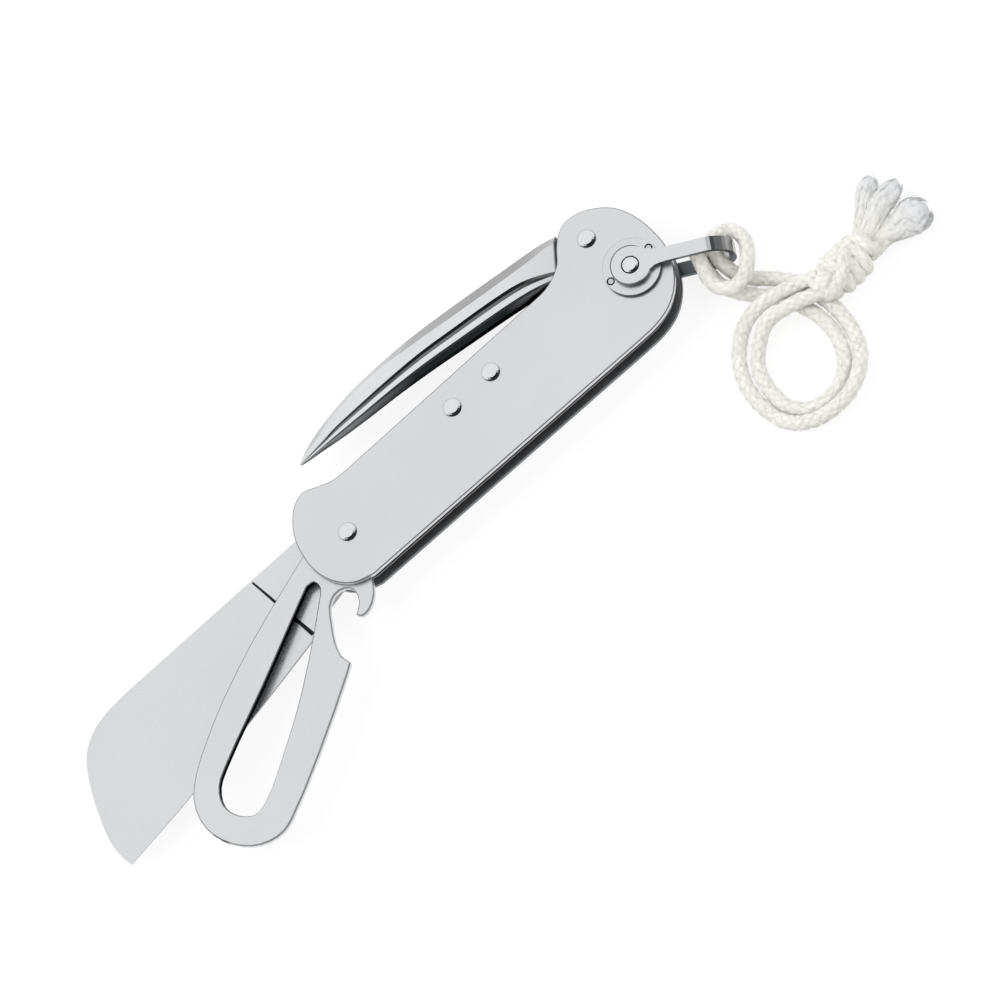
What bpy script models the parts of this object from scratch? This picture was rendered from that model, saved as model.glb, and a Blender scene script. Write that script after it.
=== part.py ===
"""Folding rigging knife: sheepsfoot blade, shackle key, marlinspike and bail with a braided lanyard.

Lengths are in millimetres and are scaled to metres when a mesh is made. In the handle's own frame +X runs
from the blade pivot to the bail, +Y is the marlinspike's side and +Z points out of the front plate. Z = 0 is
the surface that the knife lies on.
"""

import bmesh
import bpy
import numpy as np
from mathutils import Vector
from mathutils.geometry import tessellate_polygon

MM = 0.001

# Thickness of each layer, and the air between layers
GAP = 0.25
LEG_T = 1.2
DISC_T = 0.8
DISC_GAP = 0.2
PLATE_T = 1.6
BLADE_T = 2.0
LINER_T = 0.4
KEY_T = 2.1
EDGE = 0.22

# Height of each layer's underside, from the back leg of the bail to its front leg
BACK_LEG_Z = 0.0
BACK_DISC_Z = BACK_LEG_Z + LEG_T + DISC_GAP
BACK_PLATE_Z = BACK_DISC_Z + DISC_T + DISC_GAP
BLADE_Z = BACK_PLATE_Z + PLATE_T + GAP
LINER_Z = BLADE_Z + BLADE_T + GAP
KEY_Z = LINER_Z + LINER_T + GAP
FRONT_PLATE_Z = KEY_Z + KEY_T + GAP
FRONT_TOP = FRONT_PLATE_Z + PLATE_T
FRONT_DISC_Z = FRONT_TOP + DISC_GAP
FRONT_LEG_Z = FRONT_DISC_Z + DISC_T + DISC_GAP
BAIL_TOP = FRONT_LEG_Z + LEG_T

# Pivots and pins
BLADE_PIVOT = (-42.6, 0.3)
SPIKE_PIVOT = (41.8, 14.8)
BAIL_PIVOT = (45.0, 1.9)
SPRING_PINS = {"spring_pin_lower": (-6.3, 5.9), "spring_pin_upper": (5.5, 6.1)}
PIN_R = 1.8
PLATE_BORE_R = 2.0
PIVOT_BORE_R = 2.05
SPRING_PIN_R = 1.5
SPRING_BORE_R = 1.8
DOME_H = 0.7
HEAD_R = 2.15
HEAD_GAP = 0.2

# Bail and its discs
SHAFT_R = 1.9
SHAFT_FLAT = 1.3
SHAFT_BORE_R = 2.15
DISC_R = 6.9
EYE_R = 4.7
LEG_W = 3.3
BAIL_REACH = 23.05
LEG_OFFSET = 0.6
BAIL_BEND_R = 6.1
BAIL_BEND_STEPS = 10
BAIL_ANGLE = np.radians(-30)
STAKE_R = 0.65
STAKE_BORE_R = 0.85
STAKE_REACH = 5.7
STAKE_RISE = 0.7
STAKE_DEPTH = 0.9

# Tools
BLADE_TANG_R = 7.4
SPINE_Y = 9.1
EDGE_HALF_T = 0.13
PLUNGE = ((-66.5, 8.6), (-65.4, 2.1))
PLUNGE_W = 0.5
PLUNGE_DEPTH = 0.35
TIP = (-128.8, -22.8)
HEEL = (-62.6, -11.1)
SPIKE_TANG_R = 5.5
SPIKE_T = 5.0
SPIKE_MID_Z = BLADE_Z + (FRONT_PLATE_Z - GAP - BLADE_Z) / 2

# Cord
CORD_D = 3.4


def arc(centre, radius, start, end, steps):
    """Points on an arc, from one angle to another in degrees."""
    angles = np.radians(np.linspace(start, end, steps + 1))
    return [(centre[0] + radius * np.cos(a), centre[1] + radius * np.sin(a)) for a in angles]


def circle(centre, radius, sides=20):
    return arc(centre, radius, 0, 360, sides)[:-1]


def smooth(route, steps):
    """Points along a smooth curve that passes through each point of an open route."""
    p = np.array([2 * np.array(route[0]) - route[1], *route, 2 * np.array(route[-1]) - route[-2]], float)
    counts = [steps] * (len(route) - 1) if isinstance(steps, int) else steps
    out = []
    for i, count in enumerate(counts):
        a, b, c, d = p[i : i + 4]
        knots = np.cumsum([0, *(max(np.linalg.norm(q), 1e-9) ** 0.5 for q in (b - a, c - b, d - c))])
        slope_b = ((b - a) / knots[1] - (c - a) / knots[2] + (c - b) / (knots[2] - knots[1])) * (
            knots[2] - knots[1]
        )
        slope_c = (
            (c - b) / (knots[2] - knots[1])
            - (d - b) / (knots[3] - knots[1])
            + (d - c) / (knots[3] - knots[2])
        ) * (knots[2] - knots[1])
        for t in np.arange(count) / count:
            h = (2 * t**3 - 3 * t**2 + 1, t**3 - 2 * t**2 + t, 3 * t**2 - 2 * t**3, t**3 - t**2)
            out.append(tuple(h[0] * b + h[1] * slope_b + h[2] * c + h[3] * slope_c))
    return [*out, tuple(p[-2])]


def inset(ring, depth):
    """The ring moved to its left by a depth, so into the material."""
    p = np.array(ring)
    ahead = np.roll(p, -1, axis=0) - p
    ahead /= np.linalg.norm(ahead, axis=1)[:, None]
    left = np.stack([-ahead[:, 1], ahead[:, 0]], axis=1)
    both = left + np.roll(left, 1, axis=0)
    both /= np.maximum((both * both).sum(axis=1), 0.6)[:, None]
    return p + 2 * depth * both


def facing(ring, anticlockwise):
    """The ring in the asked-for direction."""
    p = np.array(ring)
    area = (p[:, 0] * np.roll(p[:, 1], -1) - np.roll(p[:, 0], -1) * p[:, 1]).sum()
    return p if (area > 0) == anticlockwise else p[::-1]


def material(name, colour, roughness, metallic):
    made = bpy.data.materials.new(name)
    made.use_nodes = True
    shader = made.node_tree.nodes["Principled BSDF"]
    shader.inputs["Base Color"].default_value = (*colour, 1)
    shader.inputs["Roughness"].default_value = roughness
    shader.inputs["Metallic"].default_value = metallic
    made.diffuse_color = (*colour, 1)
    return made


def axis_empty(name, place, parent):
    """An empty on a joint's axis, or at the handle's own zero."""
    empty = bpy.data.objects.new(name, None)
    empty.empty_display_size = 5 * MM
    empty.location = Vector((*place, 0)) * MM
    empty.parent = parent
    bpy.context.collection.objects.link(empty)
    return empty


def piece(name, bm, finish, parent, sharp=35):
    """Turns a bmesh in the handle's frame into an object under its parent empty."""
    bmesh.ops.remove_doubles(bm, verts=bm.verts, dist=1e-4)
    bmesh.ops.recalc_face_normals(bm, faces=bm.faces)
    offset = Vector((0, 0, 0)) if parent.parent is None else parent.location
    for vert in bm.verts:
        vert.co = vert.co * MM - offset
    mesh = bpy.data.meshes.new(name)
    bm.to_mesh(mesh)
    bm.free()
    mesh.materials.append(finish)
    mesh.shade_smooth()
    mesh.set_sharp_from_angle(angle=np.radians(sharp))
    obj = bpy.data.objects.new(name, mesh)
    obj.parent = parent
    bpy.context.collection.objects.link(obj)
    return obj


def helper(obj):
    """Keeps a helper out of renders."""
    obj.hide_render = True
    obj.display_type = "WIRE"
    return obj


def flat_bmesh(outline, holes, low, high, edge=EDGE):
    """A flat plate between two heights, with broken edges round its outline and holes."""
    rings = [facing(outline, True), *(facing(hole, False) for hole in holes)]
    bm = bmesh.new()
    levels = [(low, edge), (low + edge, 0), (high - edge, 0), (high, edge)]
    if edge == 0:
        levels = [(low, 0), (high, 0)]
    caps = {0: [], len(levels) - 1: []}
    for ring in rings:
        rows = []
        for row, (z, depth) in enumerate(levels):
            points = inset(ring, depth) if depth else ring
            rows.append([bm.verts.new((x, y, z)) for x, y in points])
            if row in caps:
                caps[row].append(rows[-1])
        for below, above in zip(rows, rows[1:]):
            for i in range(len(ring)):
                j = (i + 1) % len(ring)
                bm.faces.new((below[i], below[j], above[j], above[i]))
    for loops in caps.values():
        verts = [vert for loop in loops for vert in loop]
        for triangle in tessellate_polygon([[vert.co for vert in loop] for loop in loops]):
            bm.faces.new([verts[i] for i in triangle])
    return bm


def flat(name, outline, holes, low, high, finish, parent, edge=EDGE):
    return piece(name, flat_bmesh(outline, holes, low, high, edge), finish, parent)


def turned(name, profile, centre, finish, parent, sides=20):
    """A solid of revolution about a vertical line, from (height, radius) pairs with both ends on the line."""
    bm = bmesh.new()
    rings = []
    for z, r in profile:
        spots = circle(centre, r, sides) if r else [centre]
        rings.append([bm.verts.new((x, y, z)) for x, y in spots])
    for below, above in zip(rings, rings[1:]):
        for i in range(sides):
            j = (i + 1) % sides
            corners = [below[i % len(below)], below[j % len(below)]]
            corners += [above[j % len(above)], above[i % len(above)]]
            bm.faces.new(list(dict.fromkeys(corners)))
    return piece(name, bm, finish, parent)


def domed(waist=PIN_R):
    """The profile of a riveted pin: a dome over each plate, and its waist between the plates."""
    inner = (BACK_PLATE_Z + PLATE_T, FRONT_PLATE_Z)
    rises = ((1, 0), (0.98, 0.25), (0.9, 0.5), (0.72, 0.72), (0.45, 0.9), (0.15, 1), (0, 1))
    head = [*((DOME_H * rise, HEAD_R * share) for rise, share in rises), (0, PIN_R)]
    body = []
    if waist < PIN_R:
        body = [(inner[0], PIN_R), (inner[0], waist), (inner[1], waist), (inner[1], PIN_R)]
    low, high = BACK_PLATE_Z - HEAD_GAP, FRONT_TOP + HEAD_GAP
    return [(low - z, r) for z, r in head] + body + [(high + z, r) for z, r in reversed(head)]


def handle_outline():
    blade_end = [(-44.5, -11.6), (-49.2, -9.9), (-52.5, -6.2), (-54.0, -1.5), (-53.9, 2.4), (-52.8, 7.2)]
    blade_end += [(-50.4, 11.3), (-47.4, 14.0), (-44.4, 14.9), (-41.2, 13.6), (-37.5, 12.2), (-33.0, 11.9)]
    spike_end = [(22.0, 12.1), (27.0, 12.3), (30.4, 13.4), (33.0, 15.1), (35.2, 17.9), (37.4, 20.0)]
    spike_end += [(40.4, 21.4), (44.2, 21.0), (47.7, 19.2), (51.1, 16.0), (53.3, 11.1), (54.1, 5.4)]
    spike_end += [(53.9, 0.6), (52.4, -3.8), (49.4, -8.0), (45.3, -10.9), (40.5, -12.2), (35.0, -12.4)]
    return smooth(blade_end, 3) + smooth(spike_end, 3)


def build_plates(steel, handle):
    for name, low in (("back_plate", BACK_PLATE_Z), ("front_plate", FRONT_PLATE_Z)):
        holes = [circle(spot, PLATE_BORE_R) for spot in (BLADE_PIVOT, SPIKE_PIVOT, *SPRING_PINS.values())]
        holes += [circle(BAIL_PIVOT, SHAFT_BORE_R)]
        holes += [circle(spot, STAKE_BORE_R, 10) for spot in stake_spots()]
        flat(name, handle_outline(), holes, low, low + PLATE_T, steel, handle)


def build_liner(steel, handle):
    """The thin sheet between the blade and the key, cut back round the marlinspike's tang."""
    lower_left = [(-44.2, -10.9), (-48.7, -9.3), (-51.8, -5.8), (-53.2, -1.3), (-52.6, 4.6), (-49.6, 9.0)]
    outline = [*smooth(lower_left, 2), (-45.5, 10.3), (31.0, 10.0), (34.6, 9.2)]
    outline += arc(SPIKE_PIVOT, SPIKE_TANG_R + 0.6, 232, 290, 6)
    bail_end = [(52.7, 7.4), (53.2, 1.0), (51.6, -3.6), (48.8, -7.5), (44.9, -10.2)]
    outline += [(47.8, 7.9), *smooth(bail_end, 2), (40.4, -11.4), (35.0, -11.6)]
    holes = [circle(BLADE_PIVOT, PIVOT_BORE_R), circle(BAIL_PIVOT, SHAFT_BORE_R)]
    holes += [circle(spot, SPRING_BORE_R) for spot in SPRING_PINS.values()]
    flat("centre_liner", outline, holes, LINER_Z, LINER_Z + LINER_T, steel, handle, edge=0.08)


def build_springs(steel, handle):
    """Two spring bars held by the middle pins, each bearing on its own tool and on the marlinspike's tang."""
    underside = [(-42.9, 8.1), (-34.0, 8.1), (-25.0, 6.6), (-18.0, 5.0), (-11.0, 3.5), (-4.0, 2.9)]
    underside += [(8.0, 2.9), (18.0, 3.5), (30.0, 4.3), (37.0, 4.4)]
    end_pad = [(46.6, 4.4), (46.6, 6.8), (44.2, 7.4), (43.6, 8.85), (40.2, 8.85), (39.4, 7.5)]
    upper = [(34.0, 7.7), (22.0, 8.9), (12.0, 9.6), (-14.0, 9.7), (-42.9, 10.2)]
    outline = smooth(underside, 2) + end_pad + upper
    holes = [circle(spot, SPRING_BORE_R) for spot in SPRING_PINS.values()]
    flat("blade_spring", outline, holes, BLADE_Z, BLADE_Z + BLADE_T, steel, handle)
    flat("key_spring", outline, holes, KEY_Z, KEY_Z + KEY_T, steel, handle)


def wedge(name, corners, height, finish, parent):
    """A cutter over four corners of one plane, going away from the blade by a height."""
    bm = bmesh.new()
    near = [bm.verts.new(corner) for corner in corners]
    far = [bm.verts.new((x, y, z + height)) for x, y, z in corners]
    bm.faces.new(near)
    bm.faces.new(far[::-1])
    for i in range(4):
        j = (i + 1) % 4
        bm.faces.new((near[i], near[j], far[j], far[i]))
    return helper(piece(name, bm, finish, parent))


def ground_corners(side):
    """Four corners of the flat ground on one side, from the plunge line to past the nose."""
    slope = (BLADE_T / 2 - EDGE_HALF_T) / (SPINE_Y - TIP[1])
    corners = []
    for x, y in ((-66.6, SPINE_Y), (-140.0, SPINE_Y), (-140.0, -40.0), (-61.6, -40.0)):
        corners.append((x, y, BLADE_Z + BLADE_T / 2 + side * (BLADE_T / 2 - slope * (SPINE_Y - y))))
    return corners


def plunge_corners():
    """Four corners of the narrow cut where the grind ends, at its floor."""
    (x0, y0), (x1, y1) = PLUNGE
    along = Vector((x1 - x0, y1 - y0)).normalized()
    side = Vector((-along.y, along.x)) * PLUNGE_W / 2
    start, end = (Vector(spot) for spot in PLUNGE)
    floor = BLADE_Z + BLADE_T - PLUNGE_DEPTH
    return [(*spot, floor) for spot in (start - side, end - side, end + side, start + side)]


def build_blade(steel, axis):
    nose = [(-104.0, SPINE_Y), (-110.2, 8.7), (-114.4, 7.8), (-118.0, 6.1), (-121.0, 3.5), (-124.2, -1.7)]
    nose += [(-127.1, -8.6), (-129.1, -15.4), (-129.3, -19.6), TIP]
    edge_line = smooth([TIP, (-108.0, -19.9), (-85.0, -15.6), HEEL], 4)
    choil = [(-61.4, -9.6), (-59.6, -8.8)]
    tang = arc(BLADE_PIVOT, BLADE_TANG_R, -120, 88, 20)
    outline = smooth(nose, 3) + edge_line[1:] + choil + tang + [(-44.0, 8.6), (-44.6, SPINE_Y)]
    bore = circle(BLADE_PIVOT, PIVOT_BORE_R)
    blade = flat("sheepsfoot_blade", outline, [bore], BLADE_Z, BLADE_Z + BLADE_T, steel, axis, edge=0.1)
    cutters = [wedge("plunge_cutter", plunge_corners(), BLADE_T, steel, axis)]
    for side, word in ((1, "front"), (-1, "back")):
        cutters.append(wedge(f"{word}_grind_cutter", ground_corners(side), 2 * BLADE_T * side, steel, axis))
    for cutter in cutters:
        cut = blade.modifiers.new(cutter.name, "BOOLEAN")
        cut.object = cutter
        cut.operation = "DIFFERENCE"
        cut.solver = "EXACT"


def build_key(steel, axis):
    """Shackle key: a long tapered slot, and a bottle opener's mouth with a hook beside the tang."""
    far_side = [(-48.5, 5.6), (-64.8, 0.3), (-76.0, -3.7), (-88.7, -9.2), (-98.3, -14.4), (-104.2, -18.3)]
    far_side += [(-108.3, -22.3), (-110.3, -27.2), (-110.3, -31.8), (-108.4, -36.6), (-105.3, -40.2)]
    far_side += [(-101.6, -42.2), (-97.9, -42.7), (-94.6, -41.8), (-80.0, -34.2), (-63.9, -24.6)]
    far_side += [(-61.6, -23.0)]
    mouth = [(-61.6, -23.0), (-62.2, -20.4), (-61.3, -17.0), (-59.0, -12.9), (-56.9, -9.7), (-54.4, -8.2)]
    mouth += [(-51.6, -8.6), (-50.2, -10.5), (-51.2, -13.6), (-53.5, -15.4)]
    hook = [(-53.5, -15.4), (-52.7, -16.5), (-50.4, -16.4), (-47.4, -14.4), (-45.4, -11.2), (-44.6, -8.4)]
    outline = smooth(far_side, 2)[:-1] + smooth(mouth, 2)[:-1] + smooth(hook, 2)
    outline += arc(BLADE_PIVOT, BLADE_TANG_R, -90, 100, 18)
    slot = [(-57.8, -2.3), (-61.4, -4.0), (-80.2, -13.3), (-97.2, -21.3), (-102.0, -24.3), (-104.1, -28.3)]
    slot += [(-103.2, -32.4), (-100.2, -35.1), (-96.6, -34.6), (-84.6, -27.6), (-73.8, -20.2)]
    slot += [(-58.6, -7.6), (-55.7, -4.6), (-55.9, -2.6), (-57.8, -2.3)]
    holes = [smooth(slot, 3)[:-1], circle(BLADE_PIVOT, PIVOT_BORE_R)]
    flat("shackle_key", outline, holes, KEY_Z, KEY_Z + KEY_T, steel, axis)


def spike_section(low, high, half_t, bevel, crease):
    """One cross-section as (across, height) pairs: bevel, flat, hollow under the crease, and round belly."""
    belly = crease - low
    hollow = ((0.14, 0.87), (0.28, 0.77), (0.42, 0.74), (0.55, 0.71))
    rounding = ((0.66, 0.62), (0.77, 0.48), (0.88, 0.31), (0.96, 0.15), (1, 0))
    side = [(high, 0.4), (bevel, 1.0), (crease, 1.0)]
    side += [(crease - inward * belly, z) for inward, z in hollow + rounding]
    upper = [(y, z * half_t) for y, z in side]
    lower = [(y, -z) for y, z in reversed(upper[:-1])]
    return upper + lower


def build_spike(steel, axis):
    """Marlinspike: a flat tang, and a curved taper with a bevelled back and a round inner side."""
    # X, inner edge, outer edge, share of the full thickness, inner end of the bevel, crease
    stations = [
        (37.0, 11.6, 21.6, 1.00, 19.9, 12.6),
        (33.5, 12.0, 22.6, 1.00, 20.6, 13.6),
        (29.0, 12.6, 23.3, 1.00, 20.9, 16.2),
        (24.0, 13.5, 23.9, 1.00, 21.4, 18.4),
        (16.0, 14.8, 24.9, 0.98, 22.3, 19.9),
        (6.0, 16.2, 26.1, 0.94, 23.6, 21.1),
        (-4.0, 17.6, 27.0, 0.88, 24.9, 22.2),
        (-14.0, 18.7, 27.2, 0.79, 26.0, 22.6),
        (-22.0, 19.3, 26.9, 0.67, 25.8, 22.7),
        (-29.0, 20.0, 25.9, 0.53, 24.8, 22.7),
        (-34.5, 20.8, 24.7, 0.38, 23.6, 22.3),
        (-38.5, 21.3, 23.3, 0.22, 22.8, 22.1),
        (-40.6, 21.7, 22.2, 0.10, 22.05, 21.95),
    ]
    bm = bmesh.new()
    rows = []
    for x, low, high, share, bevel, crease in smooth(stations, 3):
        section = spike_section(low, high, share * SPIKE_T / 2, bevel, crease)
        rows.append([bm.verts.new((x, y, SPIKE_MID_Z + z)) for y, z in section])
    for here, there in zip(rows, rows[1:]):
        for i in range(len(here)):
            j = (i + 1) % len(here)
            bm.faces.new((here[i], here[j], there[j], there[i]))
    bm.faces.new(rows[0])
    bm.faces.new(rows[-1][::-1])
    shank = helper(piece("spike_shank_guide", bm, steel, axis))
    root = [(35.0, 12.8), (35.0, 19.0), (37.2, 19.2)]
    tang = arc(SPIKE_PIVOT, SPIKE_TANG_R, 132, -98, 20)
    outline = root + tang + [(36.6, 11.0)]
    half = SPIKE_T / 2
    bore = circle(SPIKE_PIVOT, PIVOT_BORE_R)
    spike = flat("marlinspike", outline, [bore], SPIKE_MID_Z - half, SPIKE_MID_Z + half, steel, axis)
    join = spike.modifiers.new("shank", "BOOLEAN")
    join.object = shank
    join.operation = "UNION"
    join.solver = "EXACT"


def build_pins(steel, handle):
    turned("blade_pivot_pin", domed(), BLADE_PIVOT, steel, handle)
    turned("spike_pivot_pin", domed(), SPIKE_PIVOT, steel, handle)
    for name, spot in SPRING_PINS.items():
        turned(name, domed(SPRING_PIN_R), spot, steel, handle)


def stake_spots():
    x, y = BAIL_PIVOT
    return [(x - STAKE_REACH, y + STAKE_RISE), (x + STAKE_REACH, y + STAKE_RISE)]


def build_discs(steel, handle):
    """The raised disc under each eye of the bail, and the two stakes that hold it on its plate."""
    sides = {
        "back": (BACK_DISC_Z, BACK_DISC_Z, BACK_PLATE_Z + STAKE_DEPTH),
        "front": (FRONT_DISC_Z, FRONT_TOP - STAKE_DEPTH, FRONT_DISC_Z + DISC_T),
    }
    holes = [circle(BAIL_PIVOT, SHAFT_BORE_R), *(circle(spot, STAKE_BORE_R, 10) for spot in stake_spots())]
    for side, (disc_z, stake_low, stake_high) in sides.items():
        rim = circle(BAIL_PIVOT, DISC_R, 48)
        flat(f"{side}_bail_disc", rim, holes, disc_z, disc_z + DISC_T, steel, handle, edge=0.15)
        for number, spot in enumerate(stake_spots(), 1):
            profile = [(stake_low, 0), (stake_low, STAKE_R), (stake_high, STAKE_R), (stake_high, 0)]
            turned(f"{side}_disc_stake_{number}", profile, spot, steel, handle, sides=10)


def bail_point(reach, across):
    """A point in the bail's own directions: along its legs, and across them."""
    c, s = np.cos(BAIL_ANGLE), np.sin(BAIL_ANGLE)
    return (BAIL_PIVOT[0] + reach * c - across * s, BAIL_PIVOT[1] + reach * s + across * c)


def build_bail(steel, axis):
    """A strap bent into a U, with an eye on the end of each leg."""
    bm = bmesh.new()
    near, far = LEG_OFFSET - LEG_W / 2, LEG_OFFSET + LEG_W / 2
    straight_end = BAIL_REACH - BAIL_BEND_R
    turn = np.degrees(BAIL_ANGLE)
    far_meet, near_meet = (np.degrees(np.arcsin(abs(side) / EYE_R)) + 14 for side in (far, near))
    eye = arc(BAIL_PIVOT, EYE_R, turn + far_meet, turn + 360 - near_meet, 26)
    sweep = [(EYE_R + 0.7, 0.35), (EYE_R + 2.2, 0.08), (EYE_R + 3.6, 0)]
    near_side = [bail_point(reach, near - spread) for reach, spread in sweep]
    far_side = [bail_point(reach, far + spread) for reach, spread in reversed(sweep)]
    outline = eye + near_side + [bail_point(straight_end, near), bail_point(straight_end, far)] + far_side
    open_edge = len(eye) + len(near_side)
    hole = circle(BAIL_PIVOT, SHAFT_BORE_R)
    levels = {}
    for z in (BACK_LEG_Z, BACK_LEG_Z + LEG_T, FRONT_LEG_Z, BAIL_TOP):
        outer = [bm.verts.new((*spot, z)) for spot in outline]
        inner = [bm.verts.new((*spot, z)) for spot in hole]
        for triangle in tessellate_polygon([[v.co for v in outer], [v.co for v in inner]]):
            bm.faces.new([(outer + inner)[i] for i in triangle])
        levels[z] = (outer, inner)
    for low, high in ((BACK_LEG_Z, BACK_LEG_Z + LEG_T), (FRONT_LEG_Z, BAIL_TOP)):
        for ring in (0, 1):
            below, above = levels[low][ring], levels[high][ring]
            for i in range(len(below)):
                if ring == 0 and i == open_edge:
                    continue
                j = (i + 1) % len(below)
                bm.faces.new((below[i], below[j], above[j], above[i]))
    outside = []
    inside = []
    for bend_z, first in ((BACK_LEG_Z + BAIL_BEND_R, -90), (BAIL_TOP - BAIL_BEND_R, 0)):
        for turn in np.radians(np.linspace(first, first + 90, BAIL_BEND_STEPS + 1)):
            for rail, radius in ((outside, BAIL_BEND_R), (inside, BAIL_BEND_R - LEG_T)):
                rail.append((straight_end + radius * np.cos(turn), bend_z + radius * np.sin(turn)))
    rows = []
    for rail in (outside, inside):
        for across in (near, far):
            rows.append([bm.verts.new((*bail_point(reach, across), z)) for reach, z in rail])
    for a, b in ((0, 1), (1, 3), (3, 2), (2, 0)):
        for i in range(len(outside) - 1):
            bm.faces.new((rows[a][i], rows[b][i], rows[b][i + 1], rows[a][i + 1]))
    piece("bail", bm, steel, axis)


def build_shaft(steel, axis):
    """The bail's shaft: round in the eyes, discs and plates, with a flat under the springs' ends."""
    inner_low = BACK_PLATE_Z + PLATE_T + 0.1
    inner_high = FRONT_PLATE_Z - 0.1
    rounds = circle(BAIL_PIVOT, SHAFT_R, 24)
    flatted = [(x, min(y, BAIL_PIVOT[1] + SHAFT_FLAT)) for x, y in rounds]
    levels = [(BACK_LEG_Z + 0.1, 0.93, rounds), (BACK_LEG_Z + 0.25, 1, rounds), (inner_low, 1, rounds)]
    levels += [(inner_low, 1, flatted), (inner_high, 1, flatted), (inner_high, 1, rounds)]
    head = ((0, 1), (0.12, 0.95), (0.32, 0.72), (0.42, 0.4))
    levels += [(BAIL_TOP + rise, share, rounds) for rise, share in head]
    bm = bmesh.new()
    rows = []
    for z, share, ring in levels:
        spots = [np.array(BAIL_PIVOT) + share * (np.array(spot) - BAIL_PIVOT) for spot in ring]
        rows.append([bm.verts.new((*spot, z)) for spot in spots])
    for below, above in zip(rows, rows[1:]):
        for i in range(len(rounds)):
            j = (i + 1) % len(rounds)
            bm.faces.new((below[i], below[j], above[j], above[i]))
    bm.faces.new(rows[0][::-1])
    bm.faces.new(rows[-1])
    piece("bail_cam_shaft", bm, steel, axis)


# Route of each strand, from the hitch on the bail to the knot
STRAND_1 = [
    (58.2, -3.4, 5.85), (58.2, -3.5, 6.35), (58.0, -4.1, 7.1), (57.6, -5.5, 7.6), (57.0, -7.8, 7.6),
    (56.2, -10.4, 7.4), (56.4, -13.8, 7.2), (59.0, -16.3, 7.2), (62.6, -16.0, 7.3), (65.9, -13.2, 7.3),
    (68.1, -9.4, 7.2), (67.5, -5.8, 6.8), (64.6, -3.5, 5.7), (61.9, -4.2, 4.8), (60.9, -7.6, 4.3),
    (61.2, -11.6, 3.8), (62.9, -15.0, 2.7), (65.8, -17.9, 2.0), (69.6, -22.4, 1.8), (71.8, -27.9, 1.8),
    (72.9, -34.4, 1.8), (72.4, -41.0, 1.8), (69.8, -47.2, 2.2), (65.0, -51.4, 3.6), (58.8, -53.2, 4.3),
    (52.4, -51.9, 3.6), (47.5, -47.4, 2.2), (45.8, -41.0, 1.8), (46.1, -34.6, 1.8), (48.8, -28.8, 2.1),
    (53.2, -24.8, 3.4), (58.8, -23.1, 4.9), (65.0, -23.9, 5.5), (70.7, -25.7, 5.4), (74.6, -27.2, 5.0),
]
STRAND_2 = [
    (58.2, -3.4, 5.15), (58.2, -3.5, 4.65), (58.0, -4.1, 3.9), (57.6, -5.5, 3.4), (57.3, -7.6, 3.2),
    (57.2, -10.0, 3.1), (57.5, -12.6, 3.0), (59.2, -16.3, 2.4), (62.2, -20.0, 1.9), (65.8, -24.4, 1.8),
    (67.9, -29.4, 1.8), (69.1, -35.2, 1.8), (68.6, -40.6, 1.8), (66.4, -45.3, 1.8), (62.4, -48.6, 1.8),
    (57.5, -49.7, 1.8), (52.8, -48.2, 1.8), (49.8, -44.0, 1.8), (49.5, -38.6, 1.8), (50.9, -33.3, 2.0),
    (54.6, -29.2, 2.9), (59.4, -27.2, 4.7), (65.2, -28.0, 5.5), (70.2, -29.7, 5.4), (74.2, -31.1, 5.0),
]
KNOT_CENTRE = (81.0, -29.6, 4.75)
KNOT_SIZE = (5.7, 6.2, 4.6)
TUFTS = {
    "lanyard_tuft_1": ((87.2, -26.0, 2.6), (98.4, -17.3, 2.6), 1.2, 2.4),
    "lanyard_tuft_2": ((87.6, -28.9, 2.8), (102.4, -23.2, 2.8), 1.2, 2.6),
    "lanyard_tuft_3": ((87.1, -31.8, 2.9), (104.0, -31.5, 2.9), 1.3, 2.8),
}


def build_strand(name, route, finish, axis):
    """One strand of the cord as a tube through its route."""
    lengths = [np.linalg.norm(np.subtract(b, a)) for a, b in zip(route, route[1:])]
    points = smooth(route, [max(1, round(length / CORD_D)) for length in lengths])
    curve = bpy.data.curves.new(name, "CURVE")
    curve.dimensions = "3D"
    curve.bevel_depth = CORD_D / 2 * MM
    curve.bevel_resolution = 2
    curve.use_fill_caps = True
    spline = curve.splines.new("POLY")
    spline.points.add(len(points) - 1)
    for spot, point in zip(points, spline.points):
        point.co = (*(Vector(spot) * MM - axis.location), 1)
    curve.materials.append(finish)
    obj = bpy.data.objects.new(name, curve)
    obj.parent = axis
    bpy.context.collection.objects.link(obj)


def build_knot(finish, axis):
    """The outer shape of the overhand knot."""
    bm = bmesh.new()
    bmesh.ops.create_icosphere(bm, subdivisions=2, radius=1)
    for vert in bm.verts:
        vert.co = Vector(KNOT_CENTRE) + Vector(v * s for v, s in zip(vert.co, KNOT_SIZE))
    piece("lanyard_knot", bm, finish, axis)


def build_tufts(finish, axis):
    """The frayed ends as plain cones."""
    for name, (start, end, thin, thick) in TUFTS.items():
        along = Vector(end) - Vector(start)
        side = along.cross(Vector((0, 0, 1))).normalized()
        bm = bmesh.new()
        rows = []
        for share, radius in ((0, 0.85 * thin), (0.04, thin), (0.9, thick), (1, 0.8 * thick)):
            spots = []
            for turn in np.radians(np.arange(0, 360, 36)):
                out = side * float(np.cos(turn)) + Vector((0, 0, np.sin(turn)))
                spots.append(Vector(start) + along * share + out * radius)
            rows.append([bm.verts.new(spot) for spot in spots])
        for here, there in zip(rows, rows[1:]):
            for i in range(10):
                j = (i + 1) % 10
                bm.faces.new((here[i], here[j], there[j], there[i]))
        bm.faces.new(rows[0])
        bm.faces.new(rows[-1])
        piece(name, bm, finish, axis)


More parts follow.
